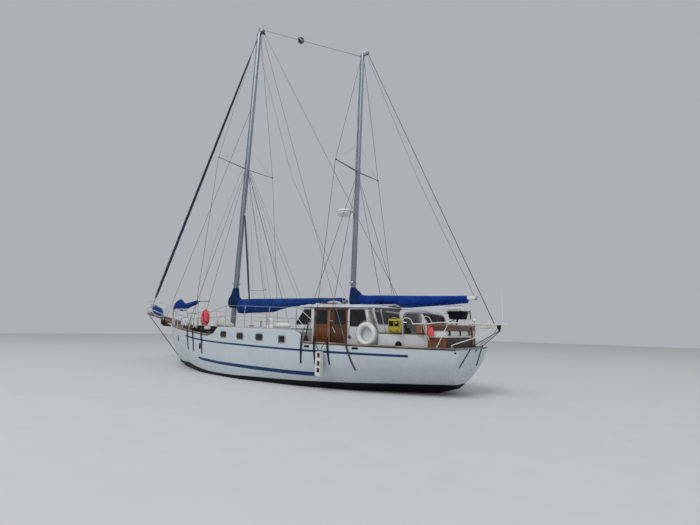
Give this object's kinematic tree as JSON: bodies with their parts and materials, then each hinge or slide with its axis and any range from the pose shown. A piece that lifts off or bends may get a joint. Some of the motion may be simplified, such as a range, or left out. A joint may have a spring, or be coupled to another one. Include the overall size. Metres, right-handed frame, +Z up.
{
  "type": "pilothouse ketch sailing yacht",
  "caption": "Long-keeled ketch sailing yacht with a glazed pilothouse, sliding side doors, furled headsail, covered booms on goosenecks, rudder, propeller and wheels.",
  "frame": {"origin": "on the centreline at the waterline, half way along the waterline length", "axes": "+X to the bow, +Y to port, +Z up"},
  "size_m": [18.0534, 4.34, 16.44],
  "materials": {
    "gelcoat": "gloss white gelcoat, lightly weathered",
    "antifouling": "matt dark bottom paint",
    "teak": "oiled teak",
    "varnished_teak": "varnished red-brown teak",
    "stainless": "polished tube",
    "wire": "weathered wire rope and straps",
    "mast_alloy": "grey anodised",
    "blue_canvas": "royal blue acrylic canvas",
    "dark_canvas": "dark navy sun strip",
    "bronze": "cast bronze",
    "galvanised": "galvanised",
    "iron": "painted casting",
    "white_plastic": "moulded",
    "grey_canvas": "white and grey canvas with clear panels",
    "yellow_cloth": "coated cloth",
    "ring_cover": "white woven cover",
    "fender_cloth": "closed-cell foam step fender"
  },
  "bodies": {
    "yacht": {"hull": "gelcoat", "ballast_keel": "iron", "cap_rail_forward": "teak", "cap_rail_aft": "teak", "bowsprit_platform": "teak", "pulpit": "stainless", "bobstay": "wire", "anchor": "galvanised", "windlass": "galvanised", "main_mast": "mast_alloy", "mizzen_mast": "mast_alloy", "main_shrouds_port": "wire", "main_shrouds_starboard": "wire", "mizzen_shrouds_port": "wire", "mizzen_shrouds_starboard": "wire", "main_backstays": "wire", "inner_forestay": "wire", "triatic_stay": "wire", "mizzen_backstay": "wire", "radar": "white_plastic", "pilothouse_side_port": "gelcoat", "pilothouse_side_starboard": "gelcoat", "pilothouse_front": "gelcoat", "pilothouse_back": "gelcoat", "pilothouse_roof": "gelcoat", "mast_post": "mast_alloy", "settee": "varnished_teak", "helm_console": "varnished_teak", "helm_pedestal": "white_plastic", "cockpit_coaming": "gelcoat", "dodger": "grey_canvas", "stern_bench": "varnished_teak", "guard_rail_port": "stainless", "guard_rail_starboard": "stainless", "boomkin_and_stern_rail": "stainless", "life_ring": "ring_cover", "rescue_bag": "yellow_cloth", "step_fender": "fender_cloth", "stern_grill": "white_plastic"},
    "rudder": {"rudder": "antifouling"},
    "propeller": {"propeller": "bronze"},
    "headsail_roll": {"furled_genoa": "dark_canvas", "furler_drum": "mast_alloy"},
    "main_boom": {"main_boom": "mast_alloy", "mainsail_cover": "blue_canvas"},
    "mizzen_boom": {"mizzen_boom": "mast_alloy", "mizzen_sail_cover": "blue_canvas"},
    "club_boom": {"club_boom": "mast_alloy", "staysail_cover": "blue_canvas"},
    "sliding_hatch": {"sliding_hatch": "teak"},
    "door_port_forward": {"door_port_forward": "varnished_teak"},
    "door_port_aft": {"door_port_aft": "varnished_teak"},
    "door_starboard_forward": {"door_starboard_forward": "varnished_teak"},
    "door_starboard_aft": {"door_starboard_aft": "varnished_teak"},
    "companion_door": {"companion_door": "varnished_teak"},
    "steering_wheel": {"steering_wheel": "varnished_teak"},
    "cockpit_wheel": {"cockpit_wheel": "stainless"},
    "fore_hatch": {"fore_hatch": "white_plastic"},
    "deck_hatch": {"deck_hatch": "white_plastic"}
  },
  "joints": [
    {"name": "rudder_turn", "type": "hinge", "parent": "yacht", "child": "rudder", "pos_m": [-5.5134, 0, -1], "axis": [-0.2237, 0, 0.9747], "range_deg": [-35, 35]},
    {"name": "propeller_spin", "type": "hinge", "parent": "yacht", "child": "propeller", "pos_m": [-5.17, 0, -0.97], "axis": [1, 0, 0], "continuous": true},
    {"name": "headsail_furl", "type": "hinge", "parent": "yacht", "child": "headsail_roll", "pos_m": [9.62, 0, 2.3], "axis": [-0.5269, 0, 0.85], "continuous": true},
    {"name": "main_boom_swing", "type": "hinge", "parent": "yacht", "child": "main_boom", "pos_m": [2.4457, 0, 2.5], "axis": [-0.0445, 0, 0.999], "range_deg": [-55, 55]},
    {"name": "mizzen_boom_swing", "type": "hinge", "parent": "yacht", "child": "mizzen_boom", "pos_m": [-3.5583, 0, 2.46], "axis": [-0.0265, 0, 0.9996], "range_deg": [-58, 58]},
    {"name": "club_boom_swing", "type": "hinge", "parent": "yacht", "child": "club_boom", "pos_m": [7.36, 0, 2.37], "axis": [0, 0, 1], "range_deg": [-35, 35]},
    {"name": "roof_hatch_slide", "type": "slide", "parent": "yacht", "child": "sliding_hatch", "axis": [0.9998, 0, 0.022], "range_m": [0, 0.62]},
    {"name": "port_forward_door_slide", "type": "slide", "parent": "yacht", "child": "door_port_forward", "axis": [-1, 0, 0], "range_m": [0, 0.56]},
    {"name": "port_aft_door_slide", "type": "slide", "parent": "yacht", "child": "door_port_aft", "axis": [1, 0, 0], "range_m": [0, 0.56]},
    {"name": "starboard_forward_door_slide", "type": "slide", "parent": "yacht", "child": "door_starboard_forward", "axis": [-1, 0, 0], "range_m": [0, 0.56]},
    {"name": "starboard_aft_door_slide", "type": "slide", "parent": "yacht", "child": "door_starboard_aft", "axis": [1, 0, 0], "range_m": [0, 0.56]},
    {"name": "companion_door_hinge", "type": "hinge", "parent": "yacht", "child": "companion_door", "pos_m": [-5.118, -0.3, 1.55], "axis": [0.2484, 0, 0.9687], "range_deg": [-100, 0]},
    {"name": "helm_wheel_turn", "type": "hinge", "parent": "yacht", "child": "steering_wheel", "pos_m": [-3.09, -0.5, 1.2], "axis": [1, 0, 0], "range_deg": [-525, 525]},
    {"name": "cockpit_wheel_turn", "type": "hinge", "parent": "yacht", "child": "cockpit_wheel", "pos_m": [-5.98, 0, 1.42], "axis": [1, 0, 0], "range_deg": [-525, 525]},
    {"name": "fore_hatch_lift", "type": "hinge", "parent": "yacht", "child": "fore_hatch", "pos_m": [3.9, 0, 1.259], "axis": [0, 1, 0], "range_deg": [0, 100]},
    {"name": "deck_hatch_lift", "type": "hinge", "parent": "yacht", "child": "deck_hatch", "pos_m": [-0.85, 0, 1.63], "axis": [0, 1, 0], "range_deg": [0, 100]}
  ],
  "couplings": [
    {"joint": "helm_wheel_turn", "follows": "rudder_turn", "ratio": -15},
    {"joint": "cockpit_wheel_turn", "follows": "rudder_turn", "ratio": -15}
  ]
}
